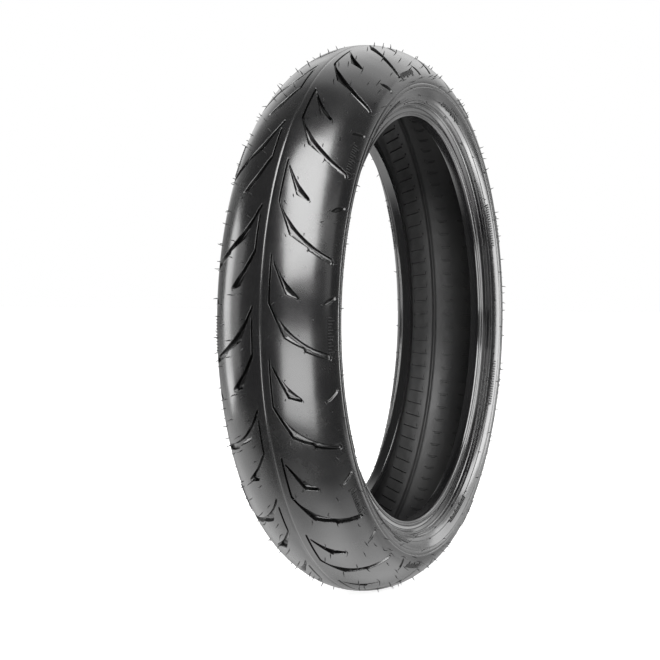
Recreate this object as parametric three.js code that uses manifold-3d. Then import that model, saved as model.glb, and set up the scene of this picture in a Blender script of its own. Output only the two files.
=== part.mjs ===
// A 130/60-17 tubeless motorcycle tyre, built up the way it is on the building drum: inner liner, two
// body plies turned round wire beads, two belt plies, chafers, rim strips, sidewalls and a grooved tread.
// Millimetres. The tyre spins about +Y, +Z is up, and the origin is at its centre. Each layer is a ring
// turned about the axle line, and a thin gap stands in for each bond between two layers.
import * as THREE from "three";
import { mergeVertices } from "three/addons/utils/BufferGeometryUtils.js";
import Module from "manifold-3d";

const wasm = await Module();
wasm.setup();

// Driving dimensions.
const outerRadius = 294; // 17 inch rim and a 60 per cent section of 130 mm
const crownRadius = 76.4; // the tread's arc across the tyre
const crownAngle = 49; // degrees from the centre line to where the shoulder's tighter arc starts
const shoulderRadius = 30;
const sidewallRadius = 38;
const sidewallStart = 108; // degrees; the tread edge is the corner between 90 and this
const sidewallEnd = 135; // degrees; the rim line
const segments = 28; // facets round each ring, a multiple of four so that the ring is level with its axes
const bondGap = 0.25;

const plyThickness = 0.8;
const linerThickness = 1.2;
const treadDepth = 8;
const grooveDepth = 5;
const beltHalfWidth = 56; // along the crown's arc

const flangeFace = 49.5; // half the width over the beads, where the rim flanges bear
const flangeTop = 227;
const heelRadius = 3.5;
const seatRadius = 216.9; // at the heel
const toe = { y: 37.5, r: 216.2 };

const pitches = 18; // repeats of the tread pattern round the tyre
const pitchAngle = 360 / pitches;

const rad = THREE.MathUtils.degToRad;

// The outline across the tyre. A normal angle of 0 points away from the axle, and 90 points sideways.
const outward = (angle) => ({ y: Math.sin(rad(angle)), r: Math.cos(rad(angle)) });

function along(centre, angle, distance) {
  const n = outward(angle);
  return { y: centre.y + distance * n.y, r: centre.r + distance * n.r };
}

const crownCentre = { y: 0, r: outerRadius - crownRadius };
const shoulderCentre = along(crownCentre, crownAngle, crownRadius - shoulderRadius);
const treadEdge = along(shoulderCentre, 90, shoulderRadius);
const sidewallCentre = along(treadEdge, sidewallStart, -sidewallRadius);

// Stations are places on the outline, and at(station, depth) is the point that deep below one.
const onCrown = (angle) => (depth) => along(crownCentre, angle, crownRadius - depth);
const onShoulder = (angle) => (depth) => along(shoulderCentre, angle, shoulderRadius - depth);
const onSidewall = (angle) => (depth) => along(sidewallCentre, angle, sidewallRadius - depth);
const cornerAngle = (90 + sidewallStart) / 2;
const onEdge = (depth) => along(treadEdge, cornerAngle, -depth / Math.cos(rad(cornerAngle - 90)));
const rimLine = onSidewall(sidewallEnd);

const crownDegrees = (distance) => THREE.MathUtils.radToDeg(distance / crownRadius);
const crownStations = [0, 28, 58].map((distance) => onCrown(crownDegrees(distance)));
const midShoulder = onShoulder(68);

// A point on the outline at a distance along it from the centre line, and a depth below it.
function surface(distance, depth) {
  const side = Math.sign(distance) || 1;
  const crownLength = crownRadius * rad(crownAngle);
  const past = Math.abs(distance) - crownLength;
  const point =
    past < 0
      ? onCrown(crownDegrees(Math.abs(distance)))(depth)
      : onShoulder(crownAngle + THREE.MathUtils.radToDeg(past / shoulderRadius))(depth);
  return { y: side * point.y, r: point.r };
}

const mirror = (points) => points.map(({ y, r }) => ({ y: -y, r })).reverse();
const wholeOf = (half) => [...mirror(half), ...half.slice(1)];

// A ring from a closed outline. Its points run so that the faces point out, whichever way they came.
function ring(points) {
  const outline = points.map(({ y, r }) => new THREE.Vector2(r, y));
  if (THREE.ShapeUtils.area(outline) < 0) outline.reverse();
  outline.push(outline[0].clone());
  return new THREE.LatheGeometry(outline, segments);
}

// A layer of even build from one bead to the other: half is [station, outer depth, inner depth] rows.
function layer(half) {
  const outer = half.map(([station, depth]) => station(depth));
  const inner = half.map(([station, , depth]) => station(depth));
  return [...wholeOf(outer), ...wholeOf(inner).reverse()];
}

const stack = (start, thickness) => [start, start + thickness];

// Depths of the layers under the crown, from the tread down.
const beltOuter = stack(treadDepth + bondGap, plyThickness);
const beltInner = stack(beltOuter[1] + bondGap, plyThickness);
const plyOuter = stack(beltInner[1] + bondGap, plyThickness);
const plyInner = stack(plyOuter[1] + bondGap, plyThickness);
const liner = stack(plyInner[1] + bondGap, linerThickness);

// The carcass comes nearer the surface towards the beads: the same layers, with the belts left out.
function carcassStack(rubber, filler = 0) {
  const outer = stack(rubber + bondGap, plyThickness);
  const inner = stack(outer[1] + bondGap + filler, plyThickness);
  return { outer, inner, liner: stack(inner[1] + bondGap, linerThickness) };
}
const shoulderRubber = 8.2;
const edgeRubber = 4.4;
const rimLineRubber = 2;
const fillerAtRimLine = 4.2; // the turned-up ply and the bead filler between the two body plies
const atShoulder = carcassStack(shoulderRubber);
const atEdge = carcassStack(edgeRubber);
const atRimLine = carcassStack(rimLineRubber, fillerAtRimLine);

const treadToEdge = (layerName, crownStack) => [
  ...crownStations.map((station) => [station, ...crownStack]),
  [midShoulder, ...atShoulder[layerName]],
  [onEdge, ...atEdge[layerName]],
  [rimLine, ...atRimLine[layerName]],
];

// The bead, from the flange face inwards. Each wall is [outside y, inside y] of one upright layer.
const stripWall = [flangeFace, flangeFace - 1.3];
const chaferWall = [48.0, 47.3];
const plyOuterWall = [47.1, 46.3];
const turnUpWall = [46.1, 45.3];
const coreWall = [45.1, 41.3];
const plyInnerWall = [41.1, 40.3];
const chaferInnerWall = [40.1, 39.4];
const linerWall = [39.2, 37.9];
const wallTop = 226;
const chaferFloor = [218.35, 219.05];
const plyFloor = [219.3, 220.1];
const coreFloor = 220.35;
const coreTop = 224.3;

// Inner liner: the airtight skin, from toe to toe.
const linerFoot = 221.4;
const innerLiner = layer([
  ...treadToEdge("liner", liner),
  [(depth) => ({ y: depth, r: wallTop }), ...linerWall],
  [(depth) => ({ y: depth, r: linerFoot }), ...linerWall],
]);

// Outer body ply: runs down outside the turn-up and stops beside the bead.
const outerPly = layer([
  ...treadToEdge("outer", plyOuter),
  [(depth) => ({ y: depth, r: wallTop }), ...plyOuterWall],
  [(depth) => ({ y: depth, r: 221.6 }), ...plyOuterWall],
]);

// Inner body ply: wraps each bead core from inside to outside and is turned up beside the filler.
const turnUpEnd = stack(atRimLine.outer[1] + bondGap, plyThickness);
const innerPly = layer([
  ...treadToEdge("inner", plyInner),
  [(depth) => ({ y: depth, r: wallTop }), ...plyInnerWall],
  [(corner) => corner, { y: plyInnerWall[0], r: plyFloor[1] }, { y: plyInnerWall[1], r: plyFloor[0] }],
  [(corner) => corner, { y: turnUpWall[1], r: plyFloor[1] }, { y: turnUpWall[0], r: plyFloor[0] }],
  [(depth) => ({ y: depth, r: wallTop }), turnUpWall[1], turnUpWall[0]],
  [rimLine, turnUpEnd[1], turnUpEnd[0]],
]);

// Belt plies: crossed cord strips under the tread only.
const beltStations = [0, 28, beltHalfWidth].map((distance) => onCrown(crownDegrees(distance)));
const outerBelt = layer(beltStations.map((station) => [station, ...beltOuter]));
const innerBelt = layer(beltStations.map((station) => [station, ...beltInner]));

// Bead core: a bundle of hard steel wire, its corners taken off.
const coreChamfer = 0.8;
const beadCore = [
  { y: coreWall[0], r: coreFloor + coreChamfer },
  { y: coreWall[0], r: coreTop },
  { y: coreWall[1], r: coreTop },
  { y: coreWall[1], r: coreFloor + coreChamfer },
  { y: coreWall[1] + coreChamfer, r: coreFloor },
  { y: coreWall[0] - coreChamfer, r: coreFloor },
];

// Bead filler: a hard rubber wedge standing on the core between the ply and its turn-up.
const fillerSide = { outer: turnUpEnd[1] + bondGap, inner: atRimLine.inner[0] - bondGap };
const fillerTipShare = 0.45; // of the way from the rim line to the tread edge
const fillerEdge = onEdge(atEdge.inner[0] - bondGap);
const fillerFoot = rimLine(fillerSide.inner);
const fillerTip = {
  y: THREE.MathUtils.lerp(fillerFoot.y, fillerEdge.y, fillerTipShare),
  r: THREE.MathUtils.lerp(fillerFoot.r, fillerEdge.r, fillerTipShare),
};
const beadFiller = [
  { y: coreWall[1], r: coreTop + bondGap },
  { y: coreWall[0], r: coreTop + bondGap },
  { y: coreWall[0], r: wallTop + 0.1 },
  rimLine(fillerSide.outer),
  fillerTip,
  fillerFoot,
  { y: coreWall[1], r: wallTop },
];

// Chafer: a fabric strip that takes the rim's rubbing, folded round the foot of the bead.
const chaferTop = 226.2;
const chafer = [
  { y: chaferWall[0], r: chaferTop },
  { y: chaferWall[0], r: seatRadius + heelRadius },
  { y: chaferWall[0] - 1.6, r: chaferFloor[0] },
  { y: chaferInnerWall[1], r: chaferFloor[0] },
  { y: chaferInnerWall[1], r: wallTop },
  { y: chaferInnerWall[0], r: wallTop },
  { y: chaferInnerWall[0], r: chaferFloor[1] },
  { y: chaferWall[1] - 1.3, r: chaferFloor[1] },
  { y: chaferWall[1], r: seatRadius + heelRadius },
  { y: chaferWall[1], r: chaferTop },
];

// Rim strip: the rubber that meets the rim, from the toe round the heel to the rim line's raised rib.
const heelCentre = { y: flangeFace - heelRadius, r: seatRadius + heelRadius };
const ribRise = 0.9;
const stripInside = seatRadius + 1.2;
const belowRimLine = onSidewall(sidewallEnd + 0.5);
const rimStrip = [
  { y: toe.y, r: linerFoot - 2 * bondGap },
  toe,
  along(heelCentre, 180, heelRadius),
  along(heelCentre, 135, heelRadius),
  along(heelCentre, 90, heelRadius),
  { y: flangeFace, r: flangeTop },
  { y: 53.0, r: 230.5 },
  { y: 53.5 + ribRise, r: 231.2 - ribRise },
  { y: 54.4 + ribRise, r: 232.1 - ribRise },
  belowRimLine(0),
  belowRimLine(rimLineRubber),
  { y: stripWall[1], r: flangeTop + 0.2 },
  { y: stripWall[1], r: seatRadius + heelRadius },
  { y: stripWall[1] - 1.9, r: stripInside },
  { y: 39.2, r: stripInside },
  { y: 39.0, r: linerFoot - 2 * bondGap },
];

// Sidewall: flexing rubber from the tread edge to the rim line.
const aboveRimLine = onSidewall(sidewallEnd - 0.4);
const belowTreadEdge = (depth) => ({ y: onEdge(depth).y, r: onEdge(depth).r - 0.4 });
const sidewall = [
  belowTreadEdge(0),
  onSidewall(117)(0),
  onSidewall(126)(0),
  aboveRimLine(0),
  aboveRimLine(rimLineRubber),
  belowTreadEdge(edgeRubber),
];

// Tread: thick rubber from edge to edge, filling in beside the belts where they stop.
const outerDistances = [0, 20, 40, 60, 77];
const treadHalf = outerDistances.map((distance) => surface(distance, 0));
const pastBelts = onCrown(crownDegrees(beltHalfWidth + 1.5));
const treadUnderside = [
  ...beltStations.map((station) => station(treadDepth)),
  pastBelts(treadDepth),
  pastBelts(beltInner[1]),
  crownStations[2](beltInner[1]),
  midShoulder(shoulderRubber),
  onEdge(edgeRubber),
];
const treadProfile = [...wholeOf([...treadHalf, treadEdge]), ...wholeOf(treadUnderside).reverse()];

// The tread pattern in one pitch, as pairs of edges. A point is [distance across, distance round] in
// millimetres on the unrolled tread, measured from the groove's own start at [0, 0] of the pitch.
const longGroove = {
  upper: [[9.2, 0], [22, -19], [46, -41.5], [70, -53.5]],
  lower: [[7.4, -2], [22, -33], [45, -47.5], [67.5, -59.5]],
};
const dagger = {
  upper: [[9.8, -1], [21.7, -17], [37.5, -35]],
  lower: [[8.2, -4], [23.5, -33], [36, -37.5]],
};
const stem = (length) => ({ upper: [[9.4, 0], [9.4, -length]], lower: [[7.4, 0], [7.4, -length]] });

// Where each groove starts within the pitch, in degrees. The stem joins the dagger's head to the long
// groove on the right side, and the long groove's head to the dagger on the left side.
const sides = [
  { side: 1, longAt: 4.1, daggerAt: 13.2, stemAt: 13.4, stemLength: 50 },
  { side: -1, longAt: 3.4, daggerAt: -5.9, stemAt: 2.6, stemLength: 46 },
];

function place([distance, round], side, startAngle, depth) {
  const { y, r } = surface(side * distance, depth);
  const angle = rad(startAngle) + round / outerRadius;
  return new THREE.Vector3(r * Math.cos(angle), y, r * Math.sin(angle));
}

// A cutter: the groove's outline as a strip, from above the tread down to the groove's floor.
const cutterRise = 3;
function grooveCutter({ upper, lower }, side, startAngle) {
  const points = [];
  for (const level of [-cutterRise, grooveDepth]) {
    for (let i = 0; i < upper.length; i++) {
      points.push(place(upper[i], side, startAngle, level), place(lower[i], side, startAngle, level));
    }
  }
  const half = 2 * upper.length;
  const faces = [];
  const quad = (a, b, c, d) => faces.push(a, b, c, a, c, d);
  for (let i = 0; i + 2 < half; i += 2) {
    quad(i, i + 1, i + 3, i + 2);
    quad(half + i, half + i + 2, half + i + 3, half + i + 1);
    quad(i, i + 2, half + i + 2, half + i);
    quad(i + 1, half + i + 1, half + i + 3, i + 3);
  }
  quad(0, half, half + 1, 1);
  quad(half - 2, half - 1, 2 * half - 1, 2 * half - 2);
  const geometry = new THREE.BufferGeometry().setFromPoints(points);
  geometry.setIndex(side > 0 ? faces : faces.reverse());
  return geometry;
}

function solidFrom(geometry) {
  const bare = geometry.clone();
  bare.deleteAttribute("normal");
  bare.deleteAttribute("uv");
  const merged = mergeVertices(bare, 1e-3);
  return new wasm.Manifold(
    new wasm.Mesh({
      numProp: 3,
      vertProperties: merged.attributes.position.array,
      triVerts: new Uint32Array(merged.index.array),
    }),
  );
}

function geometryFrom(solid) {
  const mesh = solid.getMesh();
  const geometry = new THREE.BufferGeometry();
  geometry.setAttribute("position", new THREE.BufferAttribute(mesh.vertProperties, 3));
  geometry.setIndex(new THREE.BufferAttribute(mesh.triVerts, 1));
  return geometry;
}

function groovedTread() {
  let tread = solidFrom(ring(treadProfile));
  for (const { side, longAt, daggerAt, stemAt, stemLength } of sides) {
    for (let pitch = 0; pitch < pitches; pitch++) {
      const turn = pitch * pitchAngle;
      const cuts = [
        [longGroove, longAt],
        [dagger, daggerAt],
        [stem(stemLength), stemAt],
      ];
      for (const [shape, start] of cuts) {
        tread = tread.subtract(solidFrom(grooveCutter(shape, side, turn + start)));
      }
    }
  }
  return geometryFrom(tread);
}

// Finishes.
const rubber = new THREE.MeshStandardMaterial({ color: 0x1c1c1d, roughness: 0.45, metalness: 0 });
const softRubber = new THREE.MeshStandardMaterial({ color: 0x161617, roughness: 0.6, metalness: 0 });
const cordFabric = new THREE.MeshStandardMaterial({ color: 0x5a4a38, roughness: 0.85, metalness: 0 });
const bronzedWire = new THREE.MeshStandardMaterial({ color: 0x8c6f4a, roughness: 0.35, metalness: 1 });

const tyre = new THREE.Group();
function add(name, geometry, material) {
  const mesh = new THREE.Mesh(geometry, material);
  mesh.name = name;
  tyre.add(mesh);
}

add("tread", groovedTread(), rubber);
add("belt_ply_outer", ring(outerBelt), cordFabric);
add("belt_ply_inner", ring(innerBelt), cordFabric);
add("body_ply_outer", ring(outerPly), cordFabric);
add("body_ply_inner", ring(innerPly), cordFabric);
add("inner_liner", ring(innerLiner), softRubber);

// The pieces at each bead, right at +Y and left at -Y.
const beadPieces = [
  ["sidewall", sidewall, rubber],
  ["rim_strip", rimStrip, rubber],
  ["chafer", chafer, cordFabric],
  ["bead_filler", beadFiller, softRubber],
  ["bead_core", beadCore, bronzedWire],
];
for (const [name, outline, material] of beadPieces) {
  add(name + "_right", ring(outline), material);
  add(name + "_left", ring(mirror(outline)), material);
}

export default tyre;
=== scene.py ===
# %% [markdown]
# # A motorcycle tyre fresh from its mould
#
# The tyre stands upright. Its axle line is +Y and its middle is the origin. The CAD frame gives its
# layers as coarse rings with many flat facets. This lesson turns each layer again as a smooth ring,
# cuts the tread pattern, and adds what a new tyre still carries from its mould: ribs, marks and hairs.

import math

import bmesh
import bpy
import numpy as np
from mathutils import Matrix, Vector, geometry


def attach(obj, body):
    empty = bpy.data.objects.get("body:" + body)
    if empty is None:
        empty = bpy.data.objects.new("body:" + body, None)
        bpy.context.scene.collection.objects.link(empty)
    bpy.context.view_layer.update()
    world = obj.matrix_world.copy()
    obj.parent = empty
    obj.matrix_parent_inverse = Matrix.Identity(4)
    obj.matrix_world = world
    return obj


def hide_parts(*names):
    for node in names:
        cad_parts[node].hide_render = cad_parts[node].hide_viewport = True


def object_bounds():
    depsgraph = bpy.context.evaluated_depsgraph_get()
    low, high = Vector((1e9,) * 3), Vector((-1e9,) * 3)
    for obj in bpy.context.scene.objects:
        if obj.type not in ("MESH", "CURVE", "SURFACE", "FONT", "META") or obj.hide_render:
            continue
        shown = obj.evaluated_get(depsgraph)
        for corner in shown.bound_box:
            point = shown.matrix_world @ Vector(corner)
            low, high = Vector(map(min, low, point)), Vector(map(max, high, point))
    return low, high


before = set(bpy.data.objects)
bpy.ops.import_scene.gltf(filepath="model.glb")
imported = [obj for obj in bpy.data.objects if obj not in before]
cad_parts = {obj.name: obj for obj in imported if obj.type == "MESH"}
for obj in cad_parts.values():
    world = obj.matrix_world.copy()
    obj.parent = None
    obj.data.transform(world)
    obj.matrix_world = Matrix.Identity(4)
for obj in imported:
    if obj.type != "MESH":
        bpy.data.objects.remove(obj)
cad_low, cad_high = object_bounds()
print("CAD box in metres:", tuple(cad_low), tuple(cad_high))

# %% [markdown]
# ## The outline across the tyre
#
# Nearly every surface here is the same curve pushed in by some depth. The curve is three arcs: a flat
# one over the crown, a tight one over the shoulder, and one down the sidewall. Giving a place on it as a
# distance along the curve and a depth below it keeps the layers parallel without measuring each one.
# Lengths are in millimetres until a mesh is made.

# %% The three arcs
MM = 0.001
OUTER_RADIUS = cad_high.z / MM

CROWN_RADIUS = 76.4
CROWN_END = math.radians(49)
SHOULDER_RADIUS = 30.0
SHOULDER_END = math.radians(90)
SIDEWALL_RADIUS = 38.0
SIDEWALL_START = math.radians(108)
SIDEWALL_END = math.radians(135)

CROWN_LENGTH = CROWN_RADIUS * CROWN_END
TREAD_EDGE = CROWN_LENGTH + SHOULDER_RADIUS * (SHOULDER_END - CROWN_END)
RIM_LINE = TREAD_EDGE + SIDEWALL_RADIUS * (SIDEWALL_END - SIDEWALL_START)

crown_centre = np.array([0.0, OUTER_RADIUS - CROWN_RADIUS])
shoulder_centre = crown_centre + (CROWN_RADIUS - SHOULDER_RADIUS) * np.array(
    [math.sin(CROWN_END), math.cos(CROWN_END)]
)
tread_corner = shoulder_centre + np.array([SHOULDER_RADIUS, 0.0])
sidewall_centre = tread_corner - SIDEWALL_RADIUS * np.array(
    [math.sin(SIDEWALL_START), math.cos(SIDEWALL_START)]
)
print("tread edge at", round(TREAD_EDGE, 1), "mm, rim line at", round(RIM_LINE, 1), "mm along the outline")

# %% A place on the outline, as (y, radius), and the angle that its surface faces
def facing(across):
    """The angle of the surface there: 0 faces away from the axle, a quarter turn faces sideways."""
    run = np.abs(across)
    crown = run / CROWN_RADIUS
    shoulder = CROWN_END + (run - CROWN_LENGTH) / SHOULDER_RADIUS
    sidewall = SIDEWALL_START + (run - TREAD_EDGE) / SIDEWALL_RADIUS
    return np.where(run <= CROWN_LENGTH, crown, np.where(run <= TREAD_EDGE, shoulder, sidewall))


def section(across, depth=0.0):
    """(y, radius) of places at distances across the tyre, each some depth below the surface."""
    across = np.asarray(across, float)
    angle = facing(across)
    run = np.abs(across)
    side = np.where(across < 0, -1.0, 1.0)
    on_crown, on_tread = run <= CROWN_LENGTH, run <= TREAD_EDGE
    radius = np.where(on_crown, CROWN_RADIUS, np.where(on_tread, SHOULDER_RADIUS, SIDEWALL_RADIUS))
    centre_y, centre_r = (
        np.where(on_crown, crown_centre[i], np.where(on_tread, shoulder_centre[i], sidewall_centre[i]))
        for i in (0, 1)
    )
    y = side * (centre_y + (radius - depth) * np.sin(angle))
    return y, centre_r + (radius - depth) * np.cos(angle)


def spun(y, r, degrees):
    """Points in metres at a place on the outline, turned about the axle. 0 degrees is +X, 90 is up."""
    turn = np.radians(degrees)
    y, r, turn = np.broadcast_arrays(y, r, turn)
    return np.stack([r * np.cos(turn), y, r * np.sin(turn)], axis=-1) * MM


print("crown", spun(*section(0), 90), "tread edge", spun(*section(TREAD_EDGE), 90))

# %% [markdown]
# ## The camera
#
# The tyre is seen from in front and a little to its right, so the tread fills the near side and the far
# side shows through the bead opening. A long lens a few tyre widths away keeps its ellipse gentle.

# %% Camera
camera_data = bpy.data.cameras.new("camera")
camera_data.lens = 122.16
camera_data.sensor_width = 36
camera = bpy.data.objects.new("camera", camera_data)
bpy.context.collection.objects.link(camera)
AZIMUTH, ELEVATION, DISTANCE = math.radians(112.62), math.radians(1.64), 2.4278
back = Vector(
    (
        math.sin(AZIMUTH) * math.cos(ELEVATION),
        -math.cos(AZIMUTH) * math.cos(ELEVATION),
        math.sin(ELEVATION),
    )
)
aim = Vector((0.0177, -0.0425, -0.0127))
camera.location = aim + back * DISTANCE
camera.rotation_mode = "QUATERNION"
camera.rotation_quaternion = (-back).to_track_quat("-Z", "Y")
bpy.context.scene.camera = camera
print("camera at", tuple(round(v, 3) for v in camera.location))

# %% [markdown]
# ## Shared shader groups
#
# All the rubber came out of one mould, so the same effects turn up in each compound: a fine grain from
# the blasted steel, and a waxy bloom in soft patches. Each effect is one node group with named sockets,
# so that each material can set its own strength and scale.

# %% A helper for building node groups
def new_group(name, inputs, outputs):
    """An empty shader group. inputs maps names to default values, and outputs maps names to types."""
    group = bpy.data.node_groups.new(name, "ShaderNodeTree")
    for label, default in inputs.items():
        socket = group.interface.new_socket(label, in_out="INPUT", socket_type="NodeSocketFloat")
        socket.default_value = default
    for label, kind in outputs.items():
        group.interface.new_socket(label, in_out="OUTPUT", socket_type=kind)
    start = group.nodes.new("NodeGroupInput")
    end = group.nodes.new("NodeGroupOutput")
    return group, start, end


def add_node(tree, kind, values=None, **settings):
    """A node with its settings, and the default values of some of its inputs."""
    node = tree.nodes.new(kind)
    for key, value in settings.items():
        setattr(node, key, value)
    for key, value in (values or {}).items():
        node.inputs[key].default_value = value
    return node


def math_node(tree, operation, first, second=None, clamp=False):
    """A Math node's output. first and second are sockets or numbers."""
    node = add_node(tree, "ShaderNodeMath", operation=operation, use_clamp=clamp)
    for slot, value in enumerate((first, second)):
        if isinstance(value, bpy.types.NodeSocket):
            tree.links.new(value, node.inputs[slot])
        elif value is not None:
            node.inputs[slot].default_value = value
    return node.outputs[0]


print("helpers ready")

# %% [markdown]
# Relief too small to model goes to a Bump node as a height. Two sizes of noise are added, each with its
# height in metres: the fine one is the blasted mould, and the soft one is the slight waviness of rubber
# that has shrunk as it cooled. The soft one is what makes a reflection on a tyre wander at its edges.

# %% Grain group
def make_grain_group():
    group, start, end = new_group(
        "moulded_grain",
        {"Fine Scale": 1500.0, "Fine Height": 0.000006, "Soft Scale": 26.0, "Soft Height": 0.0006},
        {"Height": "NodeSocketFloat"},
    )
    coordinates = add_node(group, "ShaderNodeTexCoord").outputs["Object"]
    total = 0.0
    for size, detail in (("Fine", 2.0), ("Soft", 1.0)):
        noise = add_node(group, "ShaderNodeTexNoise", {"Detail": detail})
        group.links.new(coordinates, noise.inputs["Vector"])
        group.links.new(start.outputs[size + " Scale"], noise.inputs["Scale"])
        height = math_node(group, "MULTIPLY", noise.outputs["Fac"], start.outputs[size + " Height"])
        total = math_node(group, "ADD", height, total)
    group.links.new(total, end.inputs["Height"])
    return group


grain_group = make_grain_group()
print(grain_group.name, [item.name for item in grain_group.interface.items_tree])

# %% [markdown]
# Bloom is the protective wax that works its way out of new rubber. It is a value between 0 and 1, large
# soft clouds broken up by finer ones, and a material uses it to lift both its colour and its roughness.

# %% Bloom group
def make_bloom_group():
    group, start, end = new_group(
        "wax_bloom",
        {"Cloud Scale": 14.0, "Speckle Scale": 170.0, "Cover": 0.5},
        {"Mask": "NodeSocketFloat"},
    )
    coordinates = add_node(group, "ShaderNodeTexCoord").outputs["Object"]
    clouds = add_node(group, "ShaderNodeTexNoise", {"Detail": 4.0, "Roughness": 0.6})
    speckle = add_node(group, "ShaderNodeTexNoise", {"Detail": 3.0, "Roughness": 0.7})
    for noise, scale in ((clouds, "Cloud Scale"), (speckle, "Speckle Scale")):
        group.links.new(coordinates, noise.inputs["Vector"])
        group.links.new(start.outputs[scale], noise.inputs["Scale"])
    spread = math_node(group, "SUBTRACT", clouds.outputs["Fac"], 0.42)
    spread = math_node(group, "MULTIPLY", spread, 3.2, clamp=True)
    broken = math_node(group, "MULTIPLY", spread, speckle.outputs["Fac"])
    mask = math_node(group, "MULTIPLY", broken, start.outputs["Cover"], clamp=True)
    group.links.new(mask, end.inputs["Mask"])
    return group


bloom_group = make_bloom_group()
print(bloom_group.name, [item.name for item in bloom_group.interface.items_tree])

# %% [markdown]
# Mould lines are the fine turning marks that a lathe leaves in the steel sidewall plates and bead rings.
# They run round the tyre, so they depend only on the distance from the axle and from the middle plane.

# %% Turning mark group
def make_turning_group():
    group, start, end = new_group(
        "turning_marks", {"Pitch": 0.0009, "Wander": 0.3}, {"Height": "NodeSocketFloat"}
    )
    coordinates = add_node(group, "ShaderNodeTexCoord").outputs["Object"]
    split = add_node(group, "ShaderNodeSeparateXYZ")
    group.links.new(coordinates, split.inputs[0])
    x2 = math_node(group, "MULTIPLY", split.outputs["X"], split.outputs["X"])
    z2 = math_node(group, "MULTIPLY", split.outputs["Z"], split.outputs["Z"])
    radius = math_node(group, "SQRT", math_node(group, "ADD", x2, z2))
    noise = add_node(group, "ShaderNodeTexNoise", {"Scale": 90.0, "Detail": 2.0})
    group.links.new(coordinates, noise.inputs["Vector"])
    distance = math_node(group, "ADD", radius, split.outputs["Y"])
    place = math_node(group, "DIVIDE", distance, start.outputs["Pitch"])
    wander = math_node(group, "MULTIPLY", noise.outputs["Fac"], start.outputs["Wander"])
    wave = math_node(group, "SINE", math_node(group, "ADD", place, wander))
    group.links.new(math_node(group, "MULTIPLY", wave, noise.outputs["Fac"]), end.inputs["Height"])
    return group


turning_group = make_turning_group()
print(turning_group.name, [item.name for item in turning_group.interface.items_tree])

# %% [markdown]
# Cord is what the plies and the belts are made of: parallel threads under a thin skin of rubber. The
# threads lie at an angle to the tyre's centre line, so the group counts threads round the tyre and
# shears them by the distance across it. A whole number of threads closes without a seam.

# %% Cord group
def make_cord_group():
    group, start, end = new_group(
        "cord_threads",
        {"Threads": 900.0, "Shear": 0.0},
        {"Height": "NodeSocketFloat", "Gap": "NodeSocketFloat"},
    )
    coordinates = add_node(group, "ShaderNodeTexCoord").outputs["Object"]
    split = add_node(group, "ShaderNodeSeparateXYZ")
    group.links.new(coordinates, split.inputs[0])
    angle = math_node(group, "ARCTAN2", split.outputs["Z"], split.outputs["X"])
    along = math_node(group, "MULTIPLY", angle, start.outputs["Threads"])
    shear = math_node(group, "MULTIPLY", split.outputs["Y"], start.outputs["Shear"])
    wave = math_node(group, "SINE", math_node(group, "ADD", along, shear))
    height = math_node(group, "ABSOLUTE", wave)
    group.links.new(height, end.inputs["Height"])
    group.links.new(math_node(group, "SUBTRACT", 1.0, height), end.inputs["Gap"])
    return group


cord_group = make_cord_group()
print(cord_group.name, [item.name for item in cord_group.interface.items_tree])

# %% [markdown]
# ## The rubber finishes
#
# Rubber full of carbon black takes up nearly all the light that enters it. What is seen is the
# reflection on its skin, so the colour stays very dark and the work goes into roughness and bump.

# %% A helper for a material and its surface
def new_material(name, roughness, specular=0.5, coat=0.0, coat_roughness=0.2, metallic=0.0):
    """A material with its Principled BSDF. Values that are the same all over go on its own sockets."""
    material = bpy.data.materials.new(name)
    material.use_nodes = True
    surface = material.node_tree.nodes["Principled BSDF"]
    surface.inputs["Roughness"].default_value = roughness
    surface.inputs["Specular IOR Level"].default_value = specular
    surface.inputs["Coat Weight"].default_value = coat
    surface.inputs["Coat Roughness"].default_value = coat_roughness
    surface.inputs["Metallic"].default_value = metallic
    return material, surface


def place_group(tree, group, **values):
    """A group node in a material, with its own values. Underscores stand for spaces in socket names."""
    node = add_node(tree, "ShaderNodeGroup", node_tree=group)
    for key, value in values.items():
        node.inputs[key.replace("_", " ")].default_value = value
    return node


def blend_colours(tree, factor, first, second):
    """A Mix node's colour output. factor is a socket, and the colours are linear."""
    node = add_node(tree, "ShaderNodeMix", data_type="RGBA")
    tree.links.new(factor, node.inputs[0])
    node.inputs[6].default_value = (*first, 1.0)
    node.inputs[7].default_value = (*second, 1.0)
    return node.outputs[2]


def add_bump(tree, surface, height, distance, under=None):
    """A Bump node that feeds the surface's Normal. distance is the height of the relief in metres."""
    bump = add_node(tree, "ShaderNodeBump", {"Strength": 1.0, "Distance": distance})
    tree.links.new(height, bump.inputs["Height"])
    if under:
        tree.links.new(under, bump.inputs["Normal"])
    tree.links.new(bump.outputs["Normal"], surface.inputs["Normal"])
    return bump.outputs["Normal"]


print("material helpers ready")

# %% [markdown]
# The compounds differ a little: the rim strip is the hardest and shiniest, and the tread has most bloom.
# One function makes them all, so that they still look like one casting. The shine is a thin coat, which
# is set on its own socket, over a glossy base whose roughness rises where the wax lies.

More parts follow.
